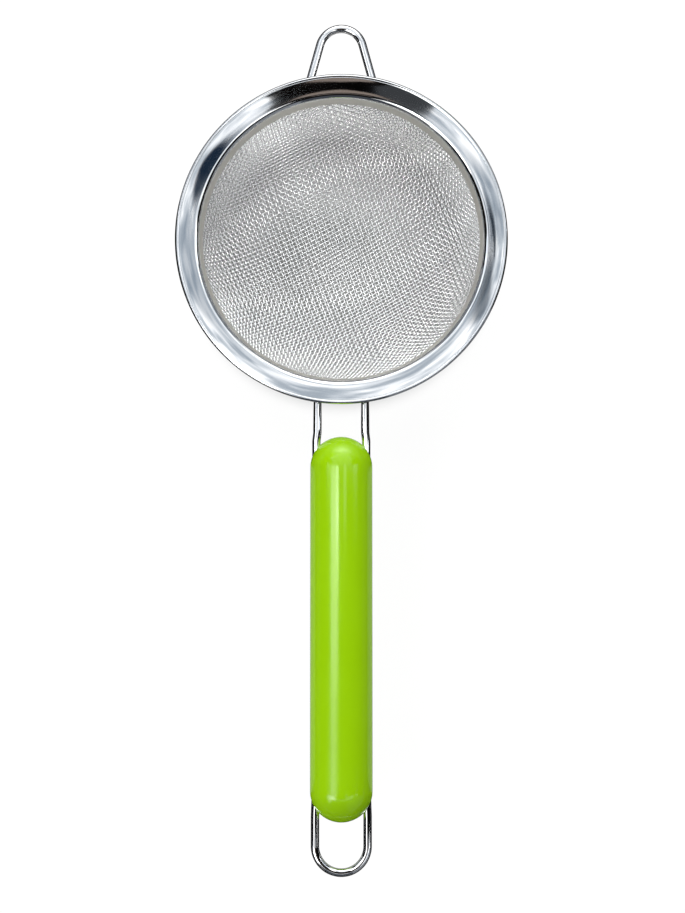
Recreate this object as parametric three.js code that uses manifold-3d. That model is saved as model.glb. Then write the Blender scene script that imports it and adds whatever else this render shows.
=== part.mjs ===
// Fine mesh strainer with a wide stamped rim, a woven wire bowl, a wire pot rest and a two-wire
// handle inside a hollow plastic grip. Millimetres, +Z up, +Y towards the pot rest.
// The origin is the centre of the small flat under the bowl, so the bowl stands on z = 0.

import * as THREE from 'three';
import { mergeVertices } from 'three/addons/utils/BufferGeometryUtils.js';
import Module from 'manifold-3d';

// Rim: one stamped sheet with a rolled outer bead, a dished flange and a tapered collar
const rimRadius = 60;
const sheetThickness = 0.6;
const beadRadius = 0.65;
const flangeSlopeOuter = 14;
const flangeSlopeInner = 6;
const flangeInnerRadius = 52.6;
const bendRadius = 0.9;
const collarTaper = 18;
const collarBottom = -6.5;

// Bowl cloth and the hoop that pinches it against the collar
const clothThickness = 0.8;
const seatGap = 0.15;
const bandThickness = 0.8;
const bandTop = 0.9;
const bandBottom = 5.2;
const clothTop = 0.5;
const footRadius = 4;

// The cloth's openings as a coarse square grid, inside a whole border and round a whole foot
const gridPitch = 7.8;
const gridBar = 3;
const gridReach = 46.8;

// Bent wires
const wireRadius = 1.5;
const wireDrop = 4.2;
const wireFootBend = 3.4;
const wireFootEnd = 5.2;
const weldStandoff = 0.8;
const restTip = 79;
const restBendRadius = 8;
const restSplay = 15.4;
const legAtRim = 8.5;
const legInGrip = 8.6;
const legAtLoop = 9.35;
const legNarrowing = 24;
const loopTip = -228;

// Grip: two hollow half shells closed on the wires
const gripFront = -71.5;
const gripRear = -208.8;
const gripRadius = 11.15;
const gripWall = 2.2;
const shellGap = 0.3;
const channelClearance = 0.2;
const ribThickness = 1.8;
const ribStations = [-92, -118, -162, -188];
const bossStations = [-105, -140, -175];
const bossRadius = 3.2;
const holeRadius = 1.7;
const pinRadius = 1.3;
const pinReach = 3.4;
const holeDepth = 4.4;

// Weld nuggets
const nuggetLevel = 3.9;
const nuggetHalfSize = new THREE.Vector3(1.9, 1.2, 2);
const weldClearance = 0.2;

// Facets
const ringSegments = 60;
const wireSides = 10;
const gripSegments = 32;

const { sin, cos, tan, asin, sqrt, PI } = Math;
const rad = THREE.MathUtils.degToRad;
const taper = rad(collarTaper);

const wasm = await Module();
wasm.setup();

const steel = new THREE.MeshStandardMaterial({ color: 0xc9cbcd, roughness: 0.12, metalness: 1 });
const clothSteel = new THREE.MeshStandardMaterial({ color: 0xb4b5b4, roughness: 0.35, metalness: 1 });
const weldSteel = new THREE.MeshStandardMaterial({ color: 0x9b9c9d, roughness: 0.45, metalness: 1 });
const limePlastic = new THREE.MeshStandardMaterial({ color: 0x84d016, roughness: 0.22, metalness: 0 });

function solidOf(geometry) {
  const plain = geometry.clone();
  plain.deleteAttribute('normal');
  plain.deleteAttribute('uv');
  const merged = mergeVertices(plain, 1e-4);
  const mesh = new wasm.Mesh({
    numProp: 3,
    vertProperties: new Float32Array(merged.attributes.position.array),
    triVerts: new Uint32Array(merged.index.array),
  });
  mesh.merge();
  return new wasm.Manifold(mesh);
}

function geometryOf(solid) {
  const mesh = solid.getMesh();
  const geometry = new THREE.BufferGeometry();
  geometry.setAttribute('position', new THREE.BufferAttribute(new Float32Array(mesh.vertProperties), 3));
  geometry.setIndex(new THREE.BufferAttribute(new Uint32Array(mesh.triVerts), 1));
  geometry.computeVertexNormals();
  return geometry;
}

// A profile of (radius, height) points turned about the upright axis
function turned(points, segments) {
  return new THREE.LatheGeometry(points, segments).rotateX(PI / 2);
}

// Points on a circle in the profile plane, from one angle to another
function arc(centre, radius, from, to, steps) {
  return Array.from({ length: steps + 1 }, (_, i) => {
    const angle = from + ((to - from) * i) / steps;
    return new THREE.Vector2(centre.x + radius * cos(angle), centre.y + radius * sin(angle));
  });
}

// The rim sheet is followed by its middle line. A point's slope is the sheet's fall towards the
// axis, so its upper side lies along (-sin slope, cos slope).
function sheetPoint(x, y, slope) {
  return { at: new THREE.Vector2(x, y), slope };
}

function offsetSheet(point, distance) {
  return new THREE.Vector2(
    point.at.x - distance * sin(point.slope),
    point.at.y + distance * cos(point.slope),
  );
}

const beadCentre = new THREE.Vector2(rimRadius - beadRadius, -beadRadius);
const beadMouth = asin(sheetThickness / 2 / beadRadius);
const outerSlope = rad(flangeSlopeOuter);
const innerSlope = rad(flangeSlopeInner);
const flangeOuter = new THREE.Vector2(
  beadCentre.x - beadRadius * cos(beadMouth) * cos(outerSlope),
  beadCentre.y - beadRadius * cos(beadMouth) * sin(outerSlope),
);
const dishRadius = (flangeOuter.x - flangeInnerRadius) / (sin(outerSlope) - sin(innerSlope));
const dishCentre = new THREE.Vector2(
  flangeOuter.x - dishRadius * sin(outerSlope),
  flangeOuter.y + dishRadius * cos(outerSlope),
);
const flangeInnerHeight = dishCentre.y - dishRadius * cos(innerSlope);
const bendCentre = new THREE.Vector2(
  flangeInnerRadius + bendRadius * sin(innerSlope),
  flangeInnerHeight - bendRadius * cos(innerSlope),
);
const collarSlope = PI / 2 - taper;
const collarTop = new THREE.Vector2(
  bendCentre.x - bendRadius * sin(collarSlope),
  bendCentre.y + bendRadius * cos(collarSlope),
);

// Place on the tapered seat: a distance down the collar and a distance outwards from its middle
function seat(along, out) {
  return new THREE.Vector2(
    collarTop.x - along * sin(taper) + out * cos(taper),
    collarTop.y - along * cos(taper) - out * sin(taper),
  );
}

const collarLength = (collarTop.y - collarBottom) / cos(taper);
const clothInner = sheetThickness / 2 + seatGap;
const clothOuter = clothInner + clothThickness;
const bandInner = clothOuter + seatGap;
const bandOuter = bandInner + bandThickness;
const footOut = bandOuter + weldStandoff + wireRadius;

function rimRing() {
  const dishSteps = 4;
  const bendSteps = 5;
  const line = [sheetPoint(...seat(collarLength, 0).toArray(), collarSlope)];
  for (let i = bendSteps; i >= 0; i--) {
    const slope = innerSlope + ((collarSlope - innerSlope) * i) / bendSteps;
    const x = bendCentre.x - bendRadius * sin(slope);
    line.push(sheetPoint(x, bendCentre.y + bendRadius * cos(slope), slope));
  }
  for (let i = 1; i <= dishSteps; i++) {
    const slope = innerSlope + ((outerSlope - innerSlope) * i) / dishSteps;
    const x = dishCentre.x + dishRadius * sin(slope);
    line.push(sheetPoint(x, dishCentre.y - dishRadius * cos(slope), slope));
  }
  const half = sheetThickness / 2;
  const upper = line.map((point) => offsetSheet(point, half));
  const lower = line.map((point) => offsetSheet(point, -half)).reverse();
  const mouth = PI - beadMouth;
  const bead = arc(beadCentre, beadRadius, outerSlope + mouth, outerSlope - mouth, 9).slice(1, -1);
  const outline = [...upper, ...bead, ...lower];
  return turned([...outline, outline[0].clone()].reverse(), ringSegments);
}

// The cloth follows the seat and runs on as a sphere that is tangent to it
const clothMiddle = (clothInner + clothOuter) / 2;
const bowlEdge = seat(collarLength, clothMiddle);
const bowlRadius = bowlEdge.x / cos(taper);
const bowlCentre = bowlEdge.y + bowlRadius * sin(taper);
const bowlOuterRadius = bowlRadius + clothThickness / 2;
const bowlInnerRadius = bowlRadius - clothThickness / 2;
const bowlDepth = sqrt(bowlOuterRadius ** 2 - footRadius ** 2) - bowlCentre;

function meshBowl() {
  const steps = 9;
  const centre = new THREE.Vector2(0, bowlCentre);
  const footAngle = -PI / 2 + asin(footRadius / bowlOuterRadius);
  const outside = arc(centre, bowlOuterRadius, footAngle, -taper, steps);
  const inside = arc(centre, bowlInnerRadius, -taper, -PI / 2, steps);
  inside[steps].x = 0;
  const profile = [
    new THREE.Vector2(0, -bowlDepth),
    ...outside,
    seat(clothTop, clothOuter),
    seat(clothTop, clothInner),
    ...inside,
  ];
  const foot = solidOf(post(footRadius + gridBar / 2, 0, -bowlDepth - footRadius, 0));
  const openings = clothOpenings().subtract(foot);
  return geometryOf(solidOf(turned(profile, ringSegments)).subtract(openings));
}

// Upright square posts, one for each whole opening, with a bar of the grid over the bowl's axis
function clothOpenings() {
  const half = (gridPitch - gridBar) / 2;
  const count = Math.floor(gridReach / gridPitch);
  const posts = [];
  for (let i = -count; i < count; i++) {
    for (let j = -count; j < count; j++) {
      const x = (i + 0.5) * gridPitch;
      const y = (j + 0.5) * gridPitch;
      if (Math.hypot(Math.abs(x) + half, Math.abs(y) + half) > gridReach) continue;
      const low = new THREE.Vector3(x - half, y - half, -bowlDepth - footRadius);
      posts.push(solidOf(box(low, new THREE.Vector3(x + half, y + half, 0))));
    }
  }
  return wasm.Manifold.union(posts);
}

function bandProfile(inner, outer) {
  const corners = [
    seat(bandBottom, inner),
    seat(bandBottom, outer),
    seat(bandTop, outer),
    seat(bandTop, inner),
  ];
  return [...corners, corners[0].clone()];
}

function clampBand() {
  return turned(bandProfile(bandInner, bandOuter), ringSegments);
}

// A wire's stations: straight runs between corners, each corner rounded to its radius
function bentStations(corners) {
  const stations = [];
  const arcStep = rad(18);
  const straight = (a, b) => b.clone().sub(a).normalize();
  corners.forEach(({ at, bend }, i) => {
    const before = i > 0 ? straight(corners[i - 1].at, at) : null;
    const after = i < corners.length - 1 ? straight(at, corners[i + 1].at) : null;
    if (!before || !after || !bend) {
      const tangent = (before ?? after).clone().add(after ?? before).normalize();
      stations.push({ at: at.clone(), tangent });
      return;
    }
    const turn = before.angleTo(after);
    const start = at.clone().addScaledVector(before, -bend * tan(turn / 2));
    const inward = after.clone().addScaledVector(before, -before.dot(after)).normalize();
    const steps = Math.max(2, Math.ceil(turn / arcStep));
    for (let k = 0; k <= steps; k++) {
      const angle = (turn * k) / steps;
      const along = start.clone().addScaledVector(before, bend * sin(angle));
      along.addScaledVector(inward, bend * (1 - cos(angle)));
      const tangent = before.clone().multiplyScalar(cos(angle)).addScaledVector(inward, sin(angle));
      stations.push({ at: along, tangent });
    }
  });
  return stations.filter((station, i) => i === 0 || station.at.distanceTo(stations[i - 1].at) > 0.01);
}

// A curve whose steps land on the stations themselves
class WireLine extends THREE.Curve {
  constructor(stations) {
    super();
    this.stations = stations;
  }

  at(u, key) {
    const last = this.stations.length - 1;
    const index = Math.min(Math.floor(u * last + 1e-6), last - 1);
    const share = u * last - index;
    return this.stations[index][key].clone().lerp(this.stations[index + 1][key], share);
  }

  getPoint(u) {
    return this.at(u, 'at');
  }

  getPointAt(u) {
    return this.at(u, 'at');
  }

  getTangent(u) {
    return this.at(u, 'tangent').normalize();
  }

  getTangentAt(u) {
    return this.at(u, 'tangent').normalize();
  }
}

function wireAlong(corners, radius) {
  const stations = bentStations(corners);
  const section = new THREE.Shape();
  for (let i = 0; i < wireSides; i++) {
    const angle = (2 * PI * (i + 0.5)) / wireSides;
    const put = i === 0 ? 'moveTo' : 'lineTo';
    section[put](radius * cos(angle), radius * sin(angle));
  }
  section.closePath();
  return new THREE.ExtrudeGeometry(section, {
    steps: stations.length - 1,
    extrudePath: new WireLine(stations),
    bevelEnabled: false,
  });
}

// Where a level wire turns down beside the band: the turn's corner and the end of its foot
const footCorner = (collarTop.y - footOut * sin(taper) + wireDrop) / cos(taper);
const footCornerRadius = seat(footCorner, footOut).x;

function wireFoot(x, y) {
  const out = new THREE.Vector2(x, y).normalize();
  const end = seat(wireFootEnd, footOut);
  return [
    { at: new THREE.Vector3(out.x * end.x, out.y * end.x, end.y) },
    { at: new THREE.Vector3(x, y, -wireDrop), bend: wireFootBend },
  ];
}

// Pot rest: two splayed legs and one round bend. A leg runs from the peak, where the two legs'
// lines would meet, to the circle on which the wire feet turn down.
const restCentre = restTip - wireRadius - restBendRadius;
const restPeak = restCentre + restBendRadius / sin(rad(restSplay));
const restLegOffset = restPeak * sin(rad(restSplay));
const restLegRun = restPeak * cos(rad(restSplay)) - sqrt(footCornerRadius ** 2 - restLegOffset ** 2);
const restFootX = restLegRun * sin(rad(restSplay));
const restFootY = restPeak - restLegRun * cos(rad(restSplay));

function restCorners() {
  const peak = { at: new THREE.Vector3(0, restPeak, -wireDrop), bend: restBendRadius };
  return [
    ...wireFoot(-restFootX, restFootY),
    peak,
    ...wireFoot(restFootX, restFootY).reverse(),
  ];
}

// Handle: one hairpin whose legs narrow inside the grip
const legFootY = -sqrt(footCornerRadius ** 2 - legAtRim ** 2);

function handleCorners() {
  const side = (sign) => [
    ...wireFoot(sign * legAtRim, legFootY),
    { at: new THREE.Vector3(sign * legInGrip, gripFront, -wireDrop) },
    { at: new THREE.Vector3(sign * legInGrip, gripRear + legNarrowing, -wireDrop) },
    { at: new THREE.Vector3(sign * legAtLoop, gripRear + gripWall, -wireDrop) },
    { at: new THREE.Vector3(sign * legAtLoop, loopTip + wireRadius, -wireDrop), bend: legAtLoop },
  ];
  return [...side(-1), ...side(1).reverse()];
}

// A weld nugget fills the wedge between a wire's foot and the band
function weldNugget(x, y, wire) {
  const out = new THREE.Vector2(x, y).normalize();
  const middle = seat(nuggetLevel, bandOuter + weldStandoff / 2);
  const blob = new THREE.SphereGeometry(1, 14, 10);
  blob.scale(nuggetHalfSize.x, nuggetHalfSize.y, nuggetHalfSize.z);
  blob.rotateX(-taper);
  blob.rotateZ(Math.atan2(out.x, -out.y));
  blob.translate(out.x * middle.x, out.y * middle.x, middle.y);
  const keepOffBand = turned(bandProfile(0, bandOuter + weldClearance), ringSegments);
  const keepOffWire = wireAlong(wire, wireRadius + weldClearance);
  return geometryOf(solidOf(blob).subtract(solidOf(keepOffBand)).subtract(solidOf(keepOffWire)));
}

// A round-ended bar along the grip's length, centred on the wires' plane
function capsule(radius) {
  const steps = 6;
  const front = new THREE.Vector2(0, gripFront - gripRadius);
  const rear = new THREE.Vector2(0, gripRear + gripRadius);
  const profile = [...arc(rear, radius, -PI / 2, 0, steps), ...arc(front, radius, 0, PI / 2, steps)];
  profile[0].x = 0;
  profile[profile.length - 1].x = 0;
  const bar = new THREE.LatheGeometry(profile, gripSegments);
  return bar.translate(0, 0, -wireDrop);
}

function box(low, high) {
  const size = high.clone().sub(low);
  const centre = low.clone().add(high).multiplyScalar(0.5);
  return new THREE.BoxGeometry(size.x, size.y, size.z).translate(centre.x, centre.y, centre.z);
}

function post(radius, y, low, high) {
  const geometry = new THREE.CylinderGeometry(radius, radius, high - low, 16);
  return geometry.rotateX(PI / 2).translate(0, y, (low + high) / 2);
}

// side is 1 for the upper shell and -1 for the lower one
function gripShell(side) {
  const reach = 2 * gripRadius;
  const seam = -wireDrop + (side * shellGap) / 2;
  const far = -wireDrop + side * reach;
  const half = solidOf(box(
    new THREE.Vector3(-reach, gripRear - reach, Math.min(seam, far)),
    new THREE.Vector3(reach, gripFront + reach, Math.max(seam, far)),
  ));
  const outer = solidOf(capsule(gripRadius));
  let inside = solidOf(capsule(gripRadius - gripWall));
  for (const y of ribStations) {
    inside = inside.subtract(solidOf(box(
      new THREE.Vector3(-reach, y - ribThickness / 2, -reach),
      new THREE.Vector3(reach, y + ribThickness / 2, reach),
    )));
  }
  for (const y of bossStations) {
    inside = inside.subtract(solidOf(post(bossRadius, y, -reach, reach)));
  }
  let shell = outer.subtract(inside).intersect(half);
  for (const y of bossStations) {
    if (side > 0) {
      shell = shell.subtract(solidOf(post(holeRadius, y, seam - 1, seam + holeDepth)));
    } else {
      shell = shell.add(solidOf(post(pinRadius, y, seam - 1, seam + pinReach)));
    }
  }
  return geometryOf(shell.subtract(solidOf(wireAlong(handleCorners(), wireRadius + channelClearance))));
}

const strainer = new THREE.Group();
strainer.position.z = bowlDepth;

function addPiece(name, geometry, material) {
  const piece = new THREE.Mesh(geometry, material);
  piece.name = name;
  strainer.add(piece);
}

addPiece('rim_ring', rimRing(), steel);
addPiece('mesh_bowl', meshBowl(), clothSteel);
addPiece('clamp_band', clampBand(), steel);
addPiece('rest_loop', wireAlong(restCorners(), wireRadius), steel);
addPiece('handle_wire', wireAlong(handleCorners(), wireRadius), steel);
addPiece('grip_upper_shell', gripShell(1), limePlastic);
addPiece('grip_lower_shell', gripShell(-1), limePlastic);
for (const [side, sign] of [['left', -1], ['right', 1]]) {
  addPiece(`rest_weld_${side}`, weldNugget(sign * restFootX, restFootY, restCorners()), weldSteel);
  addPiece(`handle_weld_${side}`, weldNugget(sign * legAtRim, legFootY, handleCorners()), weldSteel);
}

export default strainer;
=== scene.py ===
# Fine mesh strainer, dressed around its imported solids.
# Frame units are metres, +Z up, +Y towards the pot rest; sizes below are millimetres.
from math import asin, ceil, cos, pi, radians, sin, sqrt, tan

import bpy
import bmesh
import numpy as np
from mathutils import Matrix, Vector


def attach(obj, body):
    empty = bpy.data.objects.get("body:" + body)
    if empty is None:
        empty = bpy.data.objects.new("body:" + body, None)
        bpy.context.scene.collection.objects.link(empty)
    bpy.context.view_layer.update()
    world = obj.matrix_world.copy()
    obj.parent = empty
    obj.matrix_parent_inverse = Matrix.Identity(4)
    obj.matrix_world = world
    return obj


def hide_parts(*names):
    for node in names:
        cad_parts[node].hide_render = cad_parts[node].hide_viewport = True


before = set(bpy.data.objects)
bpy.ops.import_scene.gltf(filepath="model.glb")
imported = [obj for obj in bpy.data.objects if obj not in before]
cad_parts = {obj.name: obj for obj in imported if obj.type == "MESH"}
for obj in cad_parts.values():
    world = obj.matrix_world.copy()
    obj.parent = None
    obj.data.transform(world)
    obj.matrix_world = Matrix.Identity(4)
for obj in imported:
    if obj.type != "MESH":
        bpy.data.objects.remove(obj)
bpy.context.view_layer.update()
scene = bpy.context.scene
scene.view_settings.view_transform = "Standard"

mm = 0.001


# Helpers


def toLinear(hexColour):
    channels = [int(hexColour[i:i + 2], 16) / 255 for i in (1, 3, 5)]
    linear = [c / 12.92 if c <= 0.04045 else ((c + 0.055) / 1.055) ** 2.4 for c in channels]
    return (*linear, 1.0)


def addNode(tree, kind, settings=None, links=None):
    # Settings name a property or an input; inputs go by name, identifier or number
    node = tree.nodes.new(kind)

    def socket(key):
        if isinstance(key, int):
            return node.inputs[key]
        return next(s for s in node.inputs if key in (s.identifier, s.name))

    for key, value in (settings or {}).items():
        if isinstance(key, str) and key in node.bl_rna.properties:
            setattr(node, key, value)
        else:
            socket(key).default_value = value
    for key, source in (links or {}).items():
        tree.links.new(source, socket(key))
    return node


def newMaterial(name, settings):
    material = bpy.data.materials.new(name)
    material.use_nodes = True
    tree = material.node_tree
    shader = tree.nodes["Principled BSDF"]
    for socket, value in settings.items():
        shader.inputs[socket].default_value = value
    return material, tree, shader


def makePiece(name, points, faces, material, sharpAngle=35, uv=None):
    mesh = bpy.data.meshes.new(name)
    mesh.from_pydata([tuple(p) for p in np.asarray(points, dtype=float) * mm], [], faces)
    if uv is not None:
        layer = mesh.uv_layers.new(name=uv["name"])
        layer.data.foreach_set("uv", np.asarray(uv["values"], dtype=np.float32).ravel())
    mesh.materials.append(material)
    mesh.shade_smooth()
    mesh.set_sharp_from_angle(angle=radians(sharpAngle))
    piece = bpy.data.objects.new(name, mesh)
    scene.collection.objects.link(piece)
    return piece


def dress(piece, slot, *nodes):
    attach(piece, "root")
    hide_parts(*nodes)


# Rim and cloth: the camera and all other pieces are set out from them, so their sizes come first

rimSheet = {
    "radius": 60.0,
    "thickness": 0.6,
    "beadRadius": 0.65,
    "slopeOuter": 14.0,     # degrees, at the flange's outer edge
    "slopeInner": 6.0,
    "innerRadius": 53.33,
    "bendRadius": 2.0,
    "collarTaper": 18.0,
    "seatTop": (51.838, -2.498),    # on the collar's middle line; cloth, hoop and feet are set out from it
    "collarBottom": -6.5,
    "segments": 288,
}

bowlCloth = {
    "thickness": 0.8,       # room for the cloth between collar and hoop
    "seatGap": 0.15,        # clearance on each side of it
    "footRadius": 4.0,
    "wireDiameter": 0.52,
    "warpPitch": 1.22,
    "weftPitch": 1.36,
    "warpRun": 110.0,       # direction of the warp wires from above, degrees
    "weftRun": 29.0,
    "pairing": 0.12,        # share of a pitch by which warp wires close up in pairs
    "edgeAngle": 74.2,      # last wire point, from the bowl's axis
    "sides": 6,
    "steps": 3,             # segments from one crossing to the next
}


def sheetLine():
    # Middle line of the sheet in section: dished flange, inner bend and collar, heights from the rim's top
    s = rimSheet
    outer, inner = radians(s["slopeOuter"]), radians(s["slopeInner"])
    bead = np.array([s["radius"] - s["beadRadius"], -s["beadRadius"]])
    mouth = asin(s["thickness"] / 2 / s["beadRadius"])
    flangeOuter = bead - s["beadRadius"] * cos(mouth) * np.array([cos(outer), sin(outer)])
    dish = (flangeOuter[0] - s["innerRadius"]) / (sin(outer) - sin(inner))
    dishCentre = flangeOuter + dish * np.array([-sin(outer), cos(outer)])
    innerHeight = dishCentre[1] - dish * cos(inner)
    innerEdge = np.array([s["innerRadius"], innerHeight])
    bendCentre = innerEdge + s["bendRadius"] * np.array([sin(inner), -cos(inner)])
    steep = pi / 2 - radians(s["collarTaper"])
    collarTop = bendCentre + s["bendRadius"] * np.array([-sin(steep), cos(steep)])
    return {"dish": dish, "dishCentre": dishCentre, "bendCentre": bendCentre, "collarTop": collarTop,
            "outer": outer, "inner": inner, "steep": steep}


line = sheetLine()
taper = radians(rimSheet["collarTaper"])
seatTop = rimSheet["seatTop"]
collarLength = (seatTop[1] - rimSheet["collarBottom"]) / cos(taper)


def seat(along, out):
    # A point in section, so far down along the collar and so far out from its middle line
    x = seatTop[0] - along * sin(taper) + out * cos(taper)
    y = seatTop[1] - along * cos(taper) - out * sin(taper)
    return np.array([x, y])


clothMiddle = rimSheet["thickness"] / 2 + bowlCloth["seatGap"] + bowlCloth["thickness"] / 2
bandInner = clothMiddle + bowlCloth["thickness"] / 2 + bowlCloth["seatGap"]
bowlRadius = seat(collarLength, clothMiddle)[0] / cos(taper)
bowlCentre = seat(collarLength, clothMiddle)[1] + bowlRadius * sin(taper)
rimTop = sqrt((bowlRadius + bowlCloth["thickness"] / 2) ** 2 - bowlCloth["footRadius"] ** 2) - bowlCentre


# Camera: nearly overhead, leaning a little to the handle's end

cameraView = {
    "lean": 3.6,                # degrees from straight down
    "distance": 700.0,
    "aim": (0.425, -78.853),    # middle of the picture, at the rim's height
    "lens": 77.26,              # on a 36 mm sensor
}
lean = radians(cameraView["lean"])
cameraData = bpy.data.cameras.new("photoCamera")
cameraData.lens = cameraView["lens"]
cameraData.clip_start = 0.01
camera = bpy.data.objects.new("photoCamera", cameraData)
aim = Vector((*cameraView["aim"], rimTop))
camera.location = (aim + cameraView["distance"] * Vector((0, -sin(lean), cos(lean)))) * mm
camera.rotation_euler = (lean, 0, 0)
scene.collection.objects.link(camera)
scene.camera = camera
print("camera", [round(v, 4) for v in camera.location])


# Studio: a white sheet, strip lights overhead and dark flags that only mirrors see

studio = {
    "flagHeight": 2.1,              # metres above the rim
    "floorSize": 9.0,
    "wallDistance": 3.0,
    "roomFill": 0.32,               # level of the room's light on matte surfaces
    "cloudLevels": (0.88, 1.75),    # dim and bright clouds, as metal mirrors them
    "lowSky": 2.5,                  # how much brighter the clouds are lower down
    "lowSkyEnds": (0.60, 0.82),     # where that ends, as the sine of the height
}

# Lamps in millimetres from the bowl's axis, heights above the rim;
# the strips show only as highlights, and the boxes light matte surfaces only
lamps = {
    "keyFront": {"x": (-114, -68), "y": (-112, -44), "height": 350, "radiance": 13.5, "on": "gloss"},
    "keyMiddle": {"x": (-114, -68), "y": (-178, -112), "height": 350, "radiance": 3.7, "on": "gloss"},
    "keyRear": {"x": (-114, -68), "y": (-262, -178), "height": 350, "radiance": 1.0, "on": "gloss"},
    "sideFront": {"x": (-280, -114), "y": (-112, -44), "height": 350, "radiance": 6.0, "on": "gloss"},
    "sideMiddle": {"x": (-280, -114), "y": (-178, -112), "height": 350, "radiance": 4.4, "on": "gloss"},
    "sideRear": {"x": (-280, -114), "y": (-300, -178), "height": 350, "radiance": 2.2, "on": "gloss"},
    "fillStrip": {"x": (52, 104), "y": (-90, -22), "height": 330, "radiance": 3.0, "on": "gloss"},
    "lowLeft": {"x": (-760, -340), "y": (-660, -240), "height": 760, "radiance": 7.0, "on": "both"},
    "frontBox": {"x": (-300, 900), "y": (600, 1200), "height": 500, "radiance": 6.2, "on": "matte"},
    "softBox": {"x": (-1900, 800), "y": (700, 3050), "height": 2600, "radiance": 2.9, "on": "matte"},
}
for lampName, place in lamps.items():
    lamp = bpy.data.lights.new(lampName, "AREA")
    lamp.shape = "RECTANGLE"
    lamp.size, lamp.size_y = ((place[axis][1] - place[axis][0]) * mm for axis in "xy")
    lamp.energy = place["radiance"] * pi * lamp.size * lamp.size_y
    holder = bpy.data.objects.new(lampName, lamp)
    holder.location = (sum(place["x"]) / 2 * mm, sum(place["y"]) / 2 * mm, (rimTop + place["height"]) * mm)
    holder.visible_camera = False
    holder.visible_glossy = place["on"] != "matte"
    holder.visible_diffuse = place["on"] != "gloss"
    scene.collection.objects.link(holder)

# Room: white to the camera, a soft cloudy white in the metal, a level fill for the rest
world = bpy.data.worlds.new("whiteRoom")
scene.world = world
world.use_nodes = True
world.cycles.sampling_method = "NONE"    # mirrored and matte rays meet different rooms
roomTree = world.node_tree
background = roomTree.nodes["Background"]
rays = addNode(roomTree, "ShaderNodeLightPath")
ways = addNode(roomTree, "ShaderNodeTexCoord")
clouds = addNode(roomTree, "ShaderNodeTexNoise", {"Scale": 10.0, "Detail": 5.0, "Roughness": 0.6},
                 {"Vector": ways.outputs["Generated"]})
cloudShare = addNode(roomTree, "ShaderNodeMapRange", {"From Min": 0.40, "From Max": 0.60},
                     {"Value": clouds.outputs["Fac"]})
cloudTint = addNode(roomTree, "ShaderNodeMix",
                    {"data_type": "RGBA", "A_Color": toLinear("#D0DBE6"), "B_Color": toLinear("#FFFFFF")},
                    {"Factor_Float": cloudShare.outputs["Result"]})
dimCloud, brightCloud = studio["cloudLevels"]
cloudLevel = addNode(roomTree, "ShaderNodeMapRange", {"To Min": dimCloud, "To Max": brightCloud},
                     {"Value": cloudShare.outputs["Result"]})
wayParts = addNode(roomTree, "ShaderNodeSeparateXYZ", None, {"Vector": ways.outputs["Generated"]})
# Brighter lower down, where the wires and the cloth look and the flange does not
lowLevel = addNode(roomTree, "ShaderNodeMapRange",
                   {"interpolation_type": "SMOOTHSTEP", "From Min": studio["lowSkyEnds"][0],
                    "From Max": studio["lowSkyEnds"][1], "To Min": studio["lowSky"], "To Max": 1.0},
                   {"Value": wayParts.outputs["Z"]})
skyLevel = addNode(roomTree, "ShaderNodeMath", {"operation": "MULTIPLY"},
                   {0: cloudLevel.outputs["Result"], 1: lowLevel.outputs["Result"]})
seen = addNode(roomTree, "ShaderNodeMath", {"operation": "MAXIMUM"},
               {0: rays.outputs["Is Camera Ray"], 1: rays.outputs["Is Glossy Ray"]})
seenAny = addNode(roomTree, "ShaderNodeMath", {"operation": "MAXIMUM"},
                  {0: seen.outputs[0], 1: rays.outputs["Is Transmission Ray"]})
shownLevel = addNode(roomTree, "ShaderNodeMix", {"A_Float": 1.0},
                     {"Factor_Float": rays.outputs["Is Glossy Ray"], "B_Float": skyLevel.outputs[0]})
level = addNode(roomTree, "ShaderNodeMix", {"A_Float": studio["roomFill"]},
                {"Factor_Float": seenAny.outputs[0], "B_Float": shownLevel.outputs[0]})
roomTint = addNode(roomTree, "ShaderNodeMix", {"data_type": "RGBA", "A_Color": toLinear("#FFFFFF")},
                   {"Factor_Float": rays.outputs["Is Glossy Ray"], "B_Color": cloudTint.outputs[2]})
roomTree.links.new(roomTint.outputs[2], background.inputs["Color"])
roomTree.links.new(level.outputs[0], background.inputs["Strength"])


# Painted shade: under the bowl the paper's colour is painted darker as a painted shadow, lighter in the
# middle than at its edge
paper = {
    "glow": 0.945,              # white in the open
    "shadeEnds": (44, 62),      # millimetres from the bowl's axis where the shade goes over into the open
    "shade": (0.68, 0.20),      # matte level in the middle and at the edge of the shade
    "middle": 15,               # millimetres, where the shade is even
}


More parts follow.
